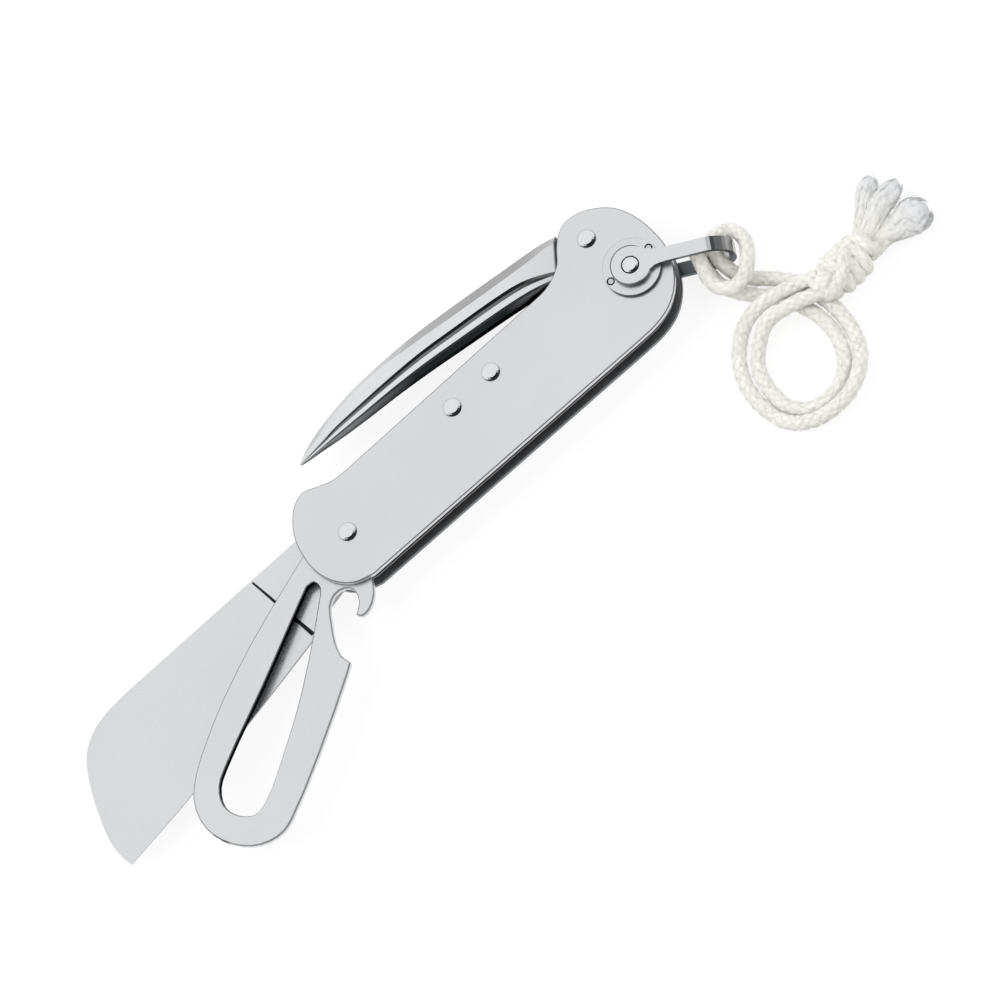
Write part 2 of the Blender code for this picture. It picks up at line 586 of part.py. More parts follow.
def centre_knife(handle):
    """Moves the whole knife so that its box, without the lanyard, stands centred on the world's zero."""
    bpy.context.view_layer.update()
    corners = []
    for obj in bpy.data.objects:
        if obj.type == "MESH" and not obj.name.startswith("lanyard") and not obj.name.endswith("cutter"):
            corners += [obj.matrix_world @ vert.co for vert in obj.data.vertices]
    low = np.min(corners, axis=0)
    high = np.max(corners, axis=0)
    handle.location -= Vector((*(low + high)[:2] / 2, 0))


def main():
    for obj in list(bpy.data.objects):
        bpy.data.objects.remove(obj)
    satin = material("satin_steel", (0.70, 0.70, 0.69), 0.35, 1.0)
    polished = material("polished_steel", (0.66, 0.66, 0.66), 0.18, 1.0)
    spring_steel = material("spring_steel", (0.35, 0.35, 0.36), 0.4, 1.0)
    cord_white = material("cord_white", (0.86, 0.85, 0.80), 0.8, 0.0)
    handle = axis_empty("handle_frame", (0, 0), None)
    blade_axis = axis_empty("blade_axis", BLADE_PIVOT, handle)
    key_axis = axis_empty("key_axis", BLADE_PIVOT, handle)
    spike_axis = axis_empty("spike_axis", SPIKE_PIVOT, handle)
    bail_axis = axis_empty("bail_axis", BAIL_PIVOT, handle)
    build_plates(satin, handle)
    build_liner(satin, handle)
    build_springs(spring_steel, handle)
    build_pins(polished, handle)
    build_discs(satin, handle)
    build_blade(satin, blade_axis)
    build_key(satin, key_axis)
    build_spike(polished, spike_axis)
    build_bail(polished, bail_axis)
    build_shaft(polished, bail_axis)
    build_strand("lanyard_strand_1", STRAND_1, cord_white, bail_axis)
    build_strand("lanyard_strand_2", STRAND_2, cord_white, bail_axis)
    build_knot(cord_white, bail_axis)
    build_tufts(cord_white, bail_axis)
    centre_knife(handle)


main()
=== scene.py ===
"""Looks of the folding rigging knife: satin and polished steel, and a white braided lanyard.

Lengths are in millimetres in the handle's own frame, as in the part's source, until place() turns a point
into the row frame's metres. In the handle's frame +X runs from the blade pivot to the bail and +Y to the
marlinspike.
"""

import math
import random

import bpy
import numpy as np
from mathutils import Matrix, Vector


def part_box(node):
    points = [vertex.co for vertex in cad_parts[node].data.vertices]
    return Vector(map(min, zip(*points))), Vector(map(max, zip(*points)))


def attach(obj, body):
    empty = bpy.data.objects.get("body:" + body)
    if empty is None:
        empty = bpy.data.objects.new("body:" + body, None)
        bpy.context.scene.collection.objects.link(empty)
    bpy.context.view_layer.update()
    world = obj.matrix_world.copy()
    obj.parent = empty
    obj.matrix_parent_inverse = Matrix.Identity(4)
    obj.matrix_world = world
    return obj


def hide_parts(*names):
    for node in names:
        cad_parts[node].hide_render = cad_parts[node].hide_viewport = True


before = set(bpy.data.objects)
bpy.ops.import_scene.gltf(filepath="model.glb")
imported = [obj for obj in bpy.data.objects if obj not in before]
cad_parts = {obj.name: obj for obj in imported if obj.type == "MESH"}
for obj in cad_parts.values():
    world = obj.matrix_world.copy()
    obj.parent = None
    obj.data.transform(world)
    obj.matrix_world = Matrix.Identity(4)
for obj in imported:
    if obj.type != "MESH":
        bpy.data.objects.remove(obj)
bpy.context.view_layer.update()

MM = 0.001
BLADE_PIVOT = (-42.6, 0.3)
BAIL_PIVOT = (45.0, 1.9)
FRONT_TOP = 11.1
EYE_R = 4.7
CORD_D = 3.4
SEED = 7
random.seed(SEED)
draw = np.random.default_rng(SEED)

pin_low, pin_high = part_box("blade_pivot_pin")
HANDLE_ZERO = ((pin_low + pin_high) / 2 / MM - Vector((*BLADE_PIVOT, 0))) * Vector((1, 1, 0))


def place(point):
    """A point of the handle's frame, in metres in the row frame."""
    return (Vector(point) + HANDLE_ZERO) * MM


# ---------------------------------------------------------------- camera

VIEW_TILT = math.radians(22)
VIEW_ROLL = math.radians(41.8)
VIEW_CENTRE = (-12.2, -18.7, FRONT_TOP)
VIEW_WIDTH = 224.7
VIEW_DISTANCE = 1800.0
SENSOR = 36
CLIP = (0.01, 20)


def make_camera():
    """A long lens, tilted towards the handle's edge and rolled so that the handle runs up to the right."""
    along = Vector((1, 0, 0))
    across = Vector((0, math.cos(VIEW_TILT), math.sin(VIEW_TILT)))
    right = along * math.cos(VIEW_ROLL) - across * math.sin(VIEW_ROLL)
    up = along * math.sin(VIEW_ROLL) + across * math.cos(VIEW_ROLL)
    back = right.cross(up)
    data = bpy.data.cameras.new("camera")
    data.sensor_width = SENSOR
    data.lens = SENSOR * VIEW_DISTANCE / VIEW_WIDTH
    data.clip_start, data.clip_end = CLIP
    camera = bpy.data.objects.new("camera", data)
    turn = Matrix((right, up, back)).transposed().to_4x4()
    camera.matrix_world = Matrix.Translation(place(VIEW_CENTRE) + back * VIEW_DISTANCE * MM) @ turn
    bpy.context.scene.collection.objects.link(camera)
    bpy.context.scene.camera = camera


make_camera()


# ---------------------------------------------------------------- shader helpers


class Nodes:
    """A short way to write one material's node tree."""

    def __init__(self, name):
        self.material = bpy.data.materials.new(name)
        self.material.use_nodes = True
        self.tree = self.material.node_tree
        self.shader = self.tree.nodes["Principled BSDF"]
        self.place = self.add("ShaderNodeTexCoord").outputs["Object"]

    def add(self, kind, inputs=(), **settings):
        node = self.tree.nodes.new(kind)
        for key, value in settings.items():
            setattr(node, key, value)
        for key, value in dict(inputs).items():
            self.feed(node.inputs[key], value)
        return node

    def feed(self, socket, value):
        if isinstance(value, bpy.types.NodeSocket):
            self.tree.links.new(value, socket)
        else:
            socket.default_value = value

    def math(self, operation, a, b=0.0, clamp=False):
        return self.add("ShaderNodeMath", {0: a, 1: b}, operation=operation, use_clamp=clamp).outputs[0]

    def total(self, *parts):
        """The sum of (value, share) pairs, each value times its share."""
        scaled = [self.math("MULTIPLY", value, share) for value, share in parts]
        total = scaled[0]
        for part in scaled[1:]:
            total = self.math("ADD", total, part)
        return total

    def noise(self, scale, detail=2.0, stretch=(1, 1, 1), roughness=0.5):
        """Noise over the object's own metres, with scale in patches to the millimetre."""
        drawn_out = self.add("ShaderNodeMapping", {"Vector": self.place, "Scale": stretch}).outputs[0]
        sockets = {"Vector": drawn_out, "Scale": scale / MM, "Detail": detail, "Roughness": roughness}
        return self.add("ShaderNodeTexNoise", sockets).outputs[0]

    def ramp(self, factor, stops):
        """A colour ramp from (place, grey or colour) pairs."""
        node = self.add("ShaderNodeValToRGB", {"Fac": factor})
        elements = node.color_ramp.elements
        while len(elements) < len(stops):
            elements.new(1.0)
        for element, (spot, colour) in zip(elements, stops):
            element.position = spot
            element.color = (colour,) * 3 + (1,) if isinstance(colour, float) else (*colour, 1)
        return node.outputs[0]

    def between(self, value, low, high, to_low, to_high):
        """The value from low to high, turned into to_low to to_high and held there."""
        sockets = {"Value": value, 1: low, 2: high, 3: to_low, 4: to_high}
        return self.add("ShaderNodeMapRange", sockets).outputs[0]

    def mix(self, factor, a, b):
        node = self.add("ShaderNodeMix", {"Factor": factor}, data_type="RGBA")
        self.feed(node.inputs["A"], a)
        self.feed(node.inputs["B"], b)
        return node.outputs["Result"]

    def attribute(self, name):
        """A value that the mesh holds at each of its points."""
        return self.add("ShaderNodeAttribute", attribute_name=name).outputs["Fac"]

    def axis(self, name):
        """One coordinate of the surface, in metres."""
        return self.add("ShaderNodeSeparateXYZ", {0: self.place}).outputs[name]

    def bump(self, height, distance, strength=1.0):
        sockets = {"Height": height, "Distance": distance * MM, "Strength": strength}
        self.feed(self.shader.inputs["Normal"], self.add("ShaderNodeBump", sockets).outputs[0])

    def set(self, **values):
        for key, value in values.items():
            self.feed(self.shader.inputs[key.replace("_", " ")], value)


# ---------------------------------------------------------------- cord

# Route of each strand, from the hitch on the bail to the knot
STRAND_1 = [
    (58.2, -3.4, 5.85), (58.2, -3.5, 6.35), (58.0, -4.1, 7.1), (57.6, -5.5, 7.6), (57.0, -7.8, 7.6),
    (56.2, -10.4, 7.4), (56.4, -13.8, 7.2), (59.0, -16.3, 7.2), (62.6, -16.0, 7.3), (65.9, -13.2, 7.3),
    (68.1, -9.4, 7.2), (67.5, -5.8, 6.8), (64.6, -3.5, 5.7), (61.9, -4.2, 4.8), (60.9, -7.6, 4.3),
    (61.2, -11.6, 3.8), (62.9, -15.0, 2.7), (65.8, -17.9, 2.0), (69.6, -22.4, 1.8), (71.8, -27.9, 1.8),
    (72.9, -34.4, 1.8), (72.4, -41.0, 1.8), (69.8, -47.2, 2.2), (65.0, -51.4, 3.6), (58.8, -53.2, 4.3),
    (52.4, -51.9, 3.6), (47.5, -47.4, 2.2), (45.8, -41.0, 1.8), (46.1, -34.6, 1.8), (48.8, -28.8, 2.1),
    (53.2, -24.8, 3.4), (58.8, -23.1, 4.9), (65.0, -23.9, 5.5), (70.7, -25.7, 5.4), (74.6, -27.2, 5.0),
]
STRAND_2 = [
    (58.2, -3.4, 5.15), (58.2, -3.5, 4.65), (58.0, -4.1, 3.9), (57.6, -5.5, 3.4), (57.3, -7.6, 3.2),
    (57.2, -10.0, 3.1), (57.5, -12.6, 3.0), (59.2, -16.3, 2.4), (62.2, -20.0, 1.9), (65.8, -24.4, 1.8),
    (67.9, -29.4, 1.8), (69.1, -35.2, 1.8), (68.6, -40.6, 1.8), (66.4, -45.3, 1.8), (62.4, -48.6, 1.8),
    (57.5, -49.7, 1.8), (52.8, -48.2, 1.8), (49.8, -44.0, 1.8), (49.5, -38.6, 1.8), (50.9, -33.3, 2.0),
    (54.6, -29.2, 2.9), (59.4, -27.2, 4.7), (65.2, -28.0, 5.5), (70.2, -29.7, 5.4), (74.2, -31.1, 5.0),
]
KNOT_CENTRE = (81.0, -29.6, 4.75)

YARNS = 5
YARN_PITCH = 2.5
YARN_DEPTH = 0.22
YARN_SWELL = 1.05
YARN_EASE = 2.6
YARN_LEAST = 0.55
ROW_STEP = 0.2
ROUND_STEPS = 48
CURVE_STEPS = 24

# How far the yarns stray from an even braid, in yarns, and the length or the patch that it takes
STRAY_ROUND = 0.3
STRAY_ROUND_OVER = 7.7
STRAY_ALONG = 0.25
STRAY_ALONG_OVER = 4.3
LOOSE_ROUND = 0.22
LOOSE_ROUND_PATCH = 12
LOOSE_ALONG = 0.18
LOOSE_ALONG_PATCH = 16

# Fluff over the yarns, in two sizes of patch, and loose fibres that stand off them
FLUFF = 0.05
FLUFF_FINE_PATCH = 2
FLUFF_WIDE = 1.4
FLUFF_WIDE_PATCH = 7
FUZZ_PER_MM = 9
FIBRE_R = 0.035
FIBRE_REACH = (0.7, 1.8)
FIBRE_BOW = (0.25, 0.5)
FIBRE_ARC = 2.6
FIBRE_ROOT = 0.46
FIBRE_LOWEST = 0.1
THIRDS = (0, 1 / 3, 2 / 3, 1)


def smooth_line(route, step):
    """Evenly spaced points on a smooth curve through the route's points."""
    p = np.array([2 * np.array(route[0]) - route[1], *route, 2 * np.array(route[-1]) - route[-2]], float)
    dense = []
    for a, b, c, d in zip(p, p[1:], p[2:], p[3:]):
        # Times at b, c and d go with the square root of each distance, so that the curve has no loops
        t1, t2, t3 = np.cumsum([max(np.linalg.norm(q), 1e-9) ** 0.5 for q in (b - a, c - b, d - c)])
        span = t2 - t1
        slope_b = ((b - a) / t1 - (c - a) / t2 + (c - b) / span) * span
        slope_c = ((c - b) / span - (d - b) / (t3 - t1) + (d - c) / (t3 - t2)) * span
        for t in np.arange(CURVE_STEPS) / CURVE_STEPS:
            h = (2 * t**3 - 3 * t**2 + 1, t**3 - 2 * t**2 + t, 3 * t**2 - 2 * t**3, t**3 - t**2)
            dense.append(h[0] * b + h[1] * slope_b + h[2] * c + h[3] * slope_c)
    dense = np.array([*dense, p[-2]])
    run = np.concatenate([[0], np.cumsum(np.linalg.norm(np.diff(dense, axis=0), axis=1))])
    spots = np.linspace(0, run[-1], max(3, round(run[-1] / step) + 1))
    return np.stack([np.interp(spots, run, dense[:, k]) for k in range(3)], axis=1)


def frames_along(line):
    """A side and an up direction at each point of a line, which turn as little as they can."""
    ahead = np.gradient(line, axis=0)
    ahead /= np.linalg.norm(ahead, axis=1)[:, None]
    side = np.cross(ahead[0], (0.0, 0.0, 1.0))
    if np.linalg.norm(side) < 0.1:
        side = np.cross(ahead[0], (1.0, 0.0, 0.0))
    sides = []
    for direction in ahead:
        side = side - direction * (side @ direction)
        side /= np.linalg.norm(side)
        sides.append(side)
    sides = np.array(sides)
    return sides, np.cross(ahead, sides)


class Shape:
    """Points and faces that grow tube by tube, with the yarn attributes of each point."""

    def __init__(self):
        self.points = []
        self.faces = []
        self.across = []
        self.lift = []

    def tube(self, rings, across, lift):
        """Closed tube through rings of points: an array of rows by steps by 3."""
        rows, steps = rings.shape[:2]
        first = len(self.points)
        self.points += list(rings.reshape(-1, 3))
        self.across += list(across.reshape(-1))
        self.lift += list(lift.reshape(-1))
        for row in range(rows - 1):
            for step in range(steps):
                a = first + row * steps + step
                b = first + row * steps + (step + 1) % steps
                self.faces.append((a, b, b + steps, a + steps))
        for row, turn in ((0, -1), (rows - 1, 1)):
            ring = [first + row * steps + step for step in range(steps)]
            middle = len(self.points)
            self.points.append(rings[row].mean(axis=0))
            self.across.append(0.5)
            self.lift.append(0.5)
            for a, b in zip(ring, ring[1:] + ring[:1]):
                self.faces.append((a, b, middle) if turn > 0 else (b, a, middle))

    def piece(self, name, finish):
        mesh = bpy.data.meshes.new(name)
        mesh.from_pydata([place(p) for p in self.points], [], self.faces)
        for key, values in (("across", self.across), ("lift", self.lift)):
            mesh.attributes.new(key, "FLOAT", "POINT").data.foreach_set("value", np.array(values, np.float32))
        mesh.materials.append(finish)
        mesh.shade_smooth()
        obj = bpy.data.objects.new(name, mesh)
        bpy.context.scene.collection.objects.link(obj)
        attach(obj, "bail")
        return obj


def uneven(rows, steps, patch):
    """Smooth random values from -1 to 1 over a tube, in patches of some rows and columns."""
    coarse = draw.uniform(-1, 1, (rows // patch + 3, steps // patch + 1))
    at_row = np.arange(rows) / patch
    at_step = np.arange(steps) / patch
    r, c = at_row.astype(int), at_step.astype(int)
    fr, fc = (at_row - r)[:, None], (at_step - c)[None, :]
    wide = coarse.shape[1]
    near = coarse[r][:, c % wide] * (1 - fc) + coarse[r][:, (c + 1) % wide] * fc
    far = coarse[r + 1][:, c % wide] * (1 - fc) + coarse[r + 1][:, (c + 1) % wide] * fc
    return near * (1 - fr) + far * fr


def braid(shape, line, diameter, phase=0.0, yarns=YARNS):
    """A soft round braid: two sets of yarns wind opposite ways and pass over each other in turn."""
    run = np.arange(len(line)) * np.linalg.norm(line[1] - line[0])
    turns = np.arange(ROUND_STEPS) / ROUND_STEPS
    loose = uneven(len(line), ROUND_STEPS, LOOSE_ROUND_PATCH)
    winding = yarns * turns[None, :] + STRAY_ROUND * np.sin(run / STRAY_ROUND_OVER + 2 * phase)[:, None]
    winding = winding + LOOSE_ROUND * loose
    travel = run[:, None] / (YARN_PITCH * diameter / CORD_D) + phase
    travel = travel + STRAY_ALONG * np.sin(run / STRAY_ALONG_OVER + phase)[:, None]
    travel = travel + LOOSE_ALONG * uneven(len(line), ROUND_STEPS, LOOSE_ALONG_PATCH)
    a, b = winding + travel, winding - travel
    over = (np.floor(a) + np.floor(b)) % 2 == 0
    across = np.where(over, a % 1, b % 1)
    along = np.where(over, b % 1, a % 1)
    # A fixed scatter: the fraction of a large sine is a different number for each crossing of two yarns
    seed = np.sin(np.floor(a) * 12.9898 + np.floor(b) * 78.233 + phase * 3.1) * 43758.5453
    yarn = YARN_LEAST + (1 - YARN_LEAST) * (seed - np.floor(seed))
    lift = np.sqrt(1 - (2 * across - 1) ** 2) * (1 - np.abs(2 * along - 1) ** YARN_EASE) ** 0.5 * yarn
    fluff = uneven(len(line), ROUND_STEPS, FLUFF_FINE_PATCH)
    fluff = fluff + FLUFF_WIDE * uneven(len(line), ROUND_STEPS, FLUFF_WIDE_PATCH)
    radius = diameter / 2 * YARN_SWELL - (YARN_DEPTH * (1 - lift) - FLUFF * fluff) * diameter / CORD_D
    sides, ups = frames_along(line)
    angle = 2 * np.pi * turns
    out = sides[:, None, :] * np.cos(angle)[None, :, None] + ups[:, None, :] * np.sin(angle)[None, :, None]
    shape.tube(line[:, None, :] + out * radius[:, :, None], across, lift)


def fuzz(shape, line, per_mm):
    """Short loose fibres that stand off the yarns."""
    sides, ups = frames_along(line)
    length = np.linalg.norm(np.diff(line, axis=0), axis=1).sum()
    for _ in range(round(length * per_mm)):
        at = random.randrange(2, len(line) - 2)
        turn = random.uniform(0, 2 * math.pi)
        out = sides[at] * math.cos(turn) + ups[at] * math.sin(turn)
        ahead = line[at + 1] - line[at]
        forward = ahead / np.linalg.norm(ahead) * random.uniform(-1, 1)
        ahead = forward + np.cross(out, ahead) * random.uniform(-2, 2)
        root = line[at] + out * CORD_D * FIBRE_ROOT
        reach = random.uniform(*FIBRE_REACH)
        bow = []
        for t in THIRDS:
            bow.append(root + ahead * reach * t + out * random.uniform(*FIBRE_BOW) * math.sin(FIBRE_ARC * t))
        bow = np.array(bow)
        bow[:, 2] = np.maximum(bow[:, 2], FIBRE_LOWEST)
        ring = 2 * np.pi * np.arange(3) / 3
        cross = np.cross(ahead, out) / max(np.linalg.norm(ahead), 1e-6)
        spoke = out[None] * np.cos(ring)[:, None] + cross[None] * np.sin(ring)[:, None]
        rings = bow[:, None] + spoke[None] * FIBRE_R
        shape.tube(rings, np.full(rings.shape[:2], 0.5), np.full(rings.shape[:2], 0.9))


# Greys of the cotton: the low end is its darker flecks and the painted shade in the grooves between yarns
COTTON = [(0.45, (0.66, 0.65, 0.62)), (0.72, (0.77, 0.76, 0.72)), (1.0, (0.86, 0.85, 0.80))]


def cord_material():
    """Off-white cotton, flecked, with fine fibres along it, and painted shade that darkens it in the grooves
    between the yarns.
    """
    n = Nodes("braided_cotton")
    across = n.attribute("across")
    lift = n.attribute("lift")
    patches = n.noise(0.22, 3)
    flecks = n.noise(1.5, 4, roughness=0.65)
    fine = n.noise(7.0, 4, roughness=0.7)
    # The lift share is painted shade: darker down in the grooves between yarns, paler on their tops
    tone = n.total((patches, 0.35), (lift, 0.3), (flecks, 0.7), (fine, 0.25))
    fibres = n.math("SINE", n.total((across, 30.0), (fine, 12.0)))
    height = n.math("ADD", n.math("MULTIPLY", fibres, 0.3), n.math("ADD", fine, flecks))
    n.bump(height, 0.075, 0.8)
    n.set(Base_Color=n.ramp(tone, COTTON), Roughness=0.9, Sheen_Weight=0.3, Sheen_Roughness=0.5)
    n.shader.inputs["Specular IOR Level"].default_value = 0.2
    return n.material


def strand(name, node, route, phase, finish):
    line = smooth_line(route, ROW_STEP)
    shape = Shape()
    braid(shape, np.array([2 * line[0] - line[1], *line]), CORD_D, phase)
    fuzz(shape, line, FUZZ_PER_MM)
    piece = shape.piece(name, finish)
    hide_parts(node)
    return piece


# The knot, from its own centre: its core, the turns round it and the part that crosses over them
KNOT_CORE = [(-9.4, 0.4, 0.1), (-5.4, 0.2, 0.0), (0.0, 0.1, -0.1), (4.6, 0.6, -0.3), (7.6, 0.8, -0.8)]
KNOT_CORE_D = 5.2
KNOT_CORE_YARNS = 8
KNOT_TURNS = 1.75
KNOT_TURN_STEPS = 30
KNOT_TURNS_FROM = 0.4
KNOT_LENGTH = 9.4
KNOT_SLANT = 1.7
KNOT_WIDE = 3.8
KNOT_HIGH = 2.7
KNOT_PART_D = 0.98 * CORD_D

# A turn's size as a share of the knot's: its least, what it gains by the middle, and its unevenness
KNOT_LEAST = 0.83
KNOT_GAIN = 0.22
KNOT_UNEVEN = 0.05

# The two parts that turn round the core: where each starts, in turns, its yarns' phase, and its end points
KNOT_PARTS = [
    (0.0, 0.3, (-8.4, -1.8, -0.2), (7.4, 1.4, -1.2)),
    (0.5, 1.7, (-8.4, 1.6, -0.2), (7.4, -1.2, -1.2)),
]
KNOT_OVER = [
    (-8.6, -0.6, -1.4), (-6.2, -3.0, 0.7), (-2.8, -2.6, 3.0),
    (0.6, 0.1, 3.8), (3.4, 2.6, 2.2), (4.4, 2.9, -0.9),
]


def knot(finish):
    """The doubled cord's knot: slanting turns round a full core, and one part that crosses over them."""
    shape = Shape()

    def part(route, diameter, phase, yarns=YARNS):
        line = smooth_line([tuple(np.array(p) + KNOT_CENTRE) for p in route], ROW_STEP)
        braid(shape, line, diameter, phase, yarns)
        return line

    part(KNOT_CORE, KNOT_CORE_D, 0.6, KNOT_CORE_YARNS)
    for offset, phase, lead_in, lead_out in KNOT_PARTS:
        turning = []
        for t in np.linspace(0, 1, KNOT_TURN_STEPS):
            angle = 2 * np.pi * (KNOT_TURNS * t + offset) + KNOT_TURNS_FROM
            full = KNOT_LEAST + KNOT_GAIN * math.sin(math.pi * t ** 0.8)
            full = full + KNOT_UNEVEN * math.sin(9 * t + phase)
            reach = (t - 0.5) * KNOT_LENGTH + KNOT_SLANT * math.sin(angle)
            turning.append((reach, KNOT_WIDE * full * math.cos(angle), KNOT_HIGH * full * math.sin(angle)))
        part([lead_in, *turning, lead_out], KNOT_PART_D, phase)
    fuzz(shape, part(KNOT_OVER, CORD_D, 0.9), 2 * FUZZ_PER_MM)
    piece = shape.piece("lanyard_overhand_knot", finish)
    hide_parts("lanyard_knot")
    return piece


# Frayed ends: the middle line of each and its half width at four places along it
TUFTS = {
    "lanyard_tuft_1": (
        [(86.4, -26.6, 3.4), (91.4, -22.8, 3.7), (95.4, -19.4, 3.6), (99.4, -16.9, 3.2)],
        (1.4, 1.6, 2.3, 2.4),
    ),
    "lanyard_tuft_2": (
        [(86.2, -28.9, 3.6), (91.8, -26.1, 4.3), (97.4, -23.6, 4.0), (103.2, -22.3, 3.2)],
        (2.0, 2.3, 3.1, 2.4),
    ),
    "lanyard_tuft_3": (
        [(86.0, -31.0, 3.4), (92.0, -30.2, 3.6), (98.2, -30.9, 3.6), (104.2, -31.7, 3.3)],
        (2.0, 2.7, 4.4, 5.1),
    ),
}
TUFT_STEP = 0.1
TUFT_FLAT = 0.62
TUFT_LOBES = 6
TUFT_ROWS = 90
TUFT_STEPS = 84
TUFT_TWIST = 1.1
TUFT_RIPPLE = 0.5
TUFT_SOLID = 0.97
TUFT_SIDES_SHORTER = 0.06
TUFT_CLOSES_AT = 0.8
TUFT_LOWEST = 0.15

# A frayed end's fullness: its least, then what lobes, fine ripples and slow waves add to it
TUFT_LEAST = 0.86
TUFT_LOBE = 0.12
TUFT_FINE = 0.06
TUFT_WAVE = 0.12
TUFT_FINE_PATCH = 3
TUFT_WAVE_PATCH = 14

# Fibres of a frayed end. Places along it are shares of its length, and places out from it of its half width
TUFT_FIBRE_STEPS = 10
TUFT_FIBRE_SIDES = 4
TUFT_FIBRE_TWIST = 0.7
TUFT_FIBRE_WAVES = (5, 12)
TUFT_FIBRE_TIP = 0.45
FIBRES_CLOSE_AT = 0.78

# Those that lie in it, for each millimetre of half width
TUFT_FIBRES = 110
TUFT_FIBRE_R = (0.06, 0.13)
TUFT_FIBRE_OUT = 0.9
TUFT_FIBRE_START = (0.1, 0.8)
TUFT_FIBRE_END = 0.98
TUFT_FIBRE_SIDES_SHORTER = 0.07
TUFT_FIBRE_UNEVEN = (-0.14, 0.01)
TUFT_FIBRE_WAVE = 0.12

# Those that stand off it
TUFT_STRAYS = 30
TUFT_STRAY_R = 0.05
TUFT_STRAY_OUT = 1.02
TUFT_STRAY_START = (0.2, 0.8)
TUFT_STRAY_LENGTH = (0.15, 0.3)
TUFT_STRAY_WAVE = 0.2

# Colours along a frayed end, from the knot to the cut, and the grey of the painted shade in its folds, which
# its random darker patches share
COTTON_END = [(0.3, (0.73, 0.72, 0.68)), (0.7, (0.69, 0.69, 0.68)), (1.0, (0.65, 0.66, 0.69))]
COTTON_FOLD_SHADE_AND_MOTTLE = (0.46, 0.47, 0.48, 1)


def tuft_material():
    """Unlaid fibres: cream near the knot, cooler grey-white at the cut ends, with painted shade in the folds.

    On a frayed end, the attribute across holds how far along it a point is.
    """
    n = Nodes("frayed_fibres")
    along = n.attribute("across")
    lift = n.attribute("lift")
    flecks = n.noise(1.3, 4, roughness=0.65)
    share = n.math("ADD", along, n.math("MULTIPLY", n.math("SUBTRACT", flecks, 0.5), 0.5))
    # Painted shade: darker where the lock folds in (low lift) and on random flecks; the next line adds random
    # darker patches
    shade = n.between(n.math("ADD", lift, n.math("MULTIPLY", flecks, 0.6)), 0.3, 1.0, 0.3, 0.0)
    shade = n.math("ADD", shade, n.between(n.noise(0.55, 3), 0.4, 0.6, 0.25, 0.0))
    n.bump(n.noise(4.0, 4, roughness=0.7), 0.14, 0.9)
    n.set(Base_Color=n.mix(shade, n.ramp(share, COTTON_END), COTTON_FOLD_SHADE_AND_MOTTLE), Roughness=0.85, Sheen_Weight=0.3)
    n.shader.inputs["Specular IOR Level"].default_value = 0.2
    return n.material


def rounding(t, start, power, least):
    """1 up to a start, then falling in a rounded curve to least at 1: how wide a frayed end still is."""
    past = np.clip((t - start) / (1 - start), 0, 1)
    return np.sqrt(np.clip(1 - past ** power, least, 1))


